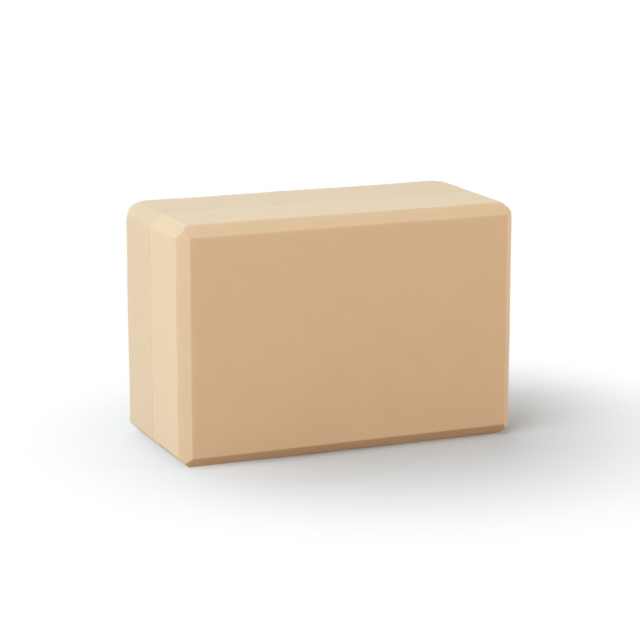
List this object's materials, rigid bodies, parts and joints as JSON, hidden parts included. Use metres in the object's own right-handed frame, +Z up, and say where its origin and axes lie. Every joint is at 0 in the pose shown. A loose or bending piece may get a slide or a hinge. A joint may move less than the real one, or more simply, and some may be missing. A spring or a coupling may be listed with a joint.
{
  "type": "yoga block",
  "caption": "Firm foam yoga block with bevelled edges, laminated from foam slabs; stands or lies on any face to raise the floor for a hand, foot or hip.",
  "frame": {"origin": "centre of the long narrow side that the block stands on, level with the floor", "axes": "+X along the block's length, +Y through its depth from the front broad face to the rear one, +Z up"},
  "size_m": [0.2286, 0.108, 0.1524],
  "materials": {
    "foam": "matte",
    "glue": "matte"
  },
  "bodies": {
    "root": {"front_slab": "foam", "rear_slab": "foam", "glue_film": "glue"}
  },
  "joints": []
}
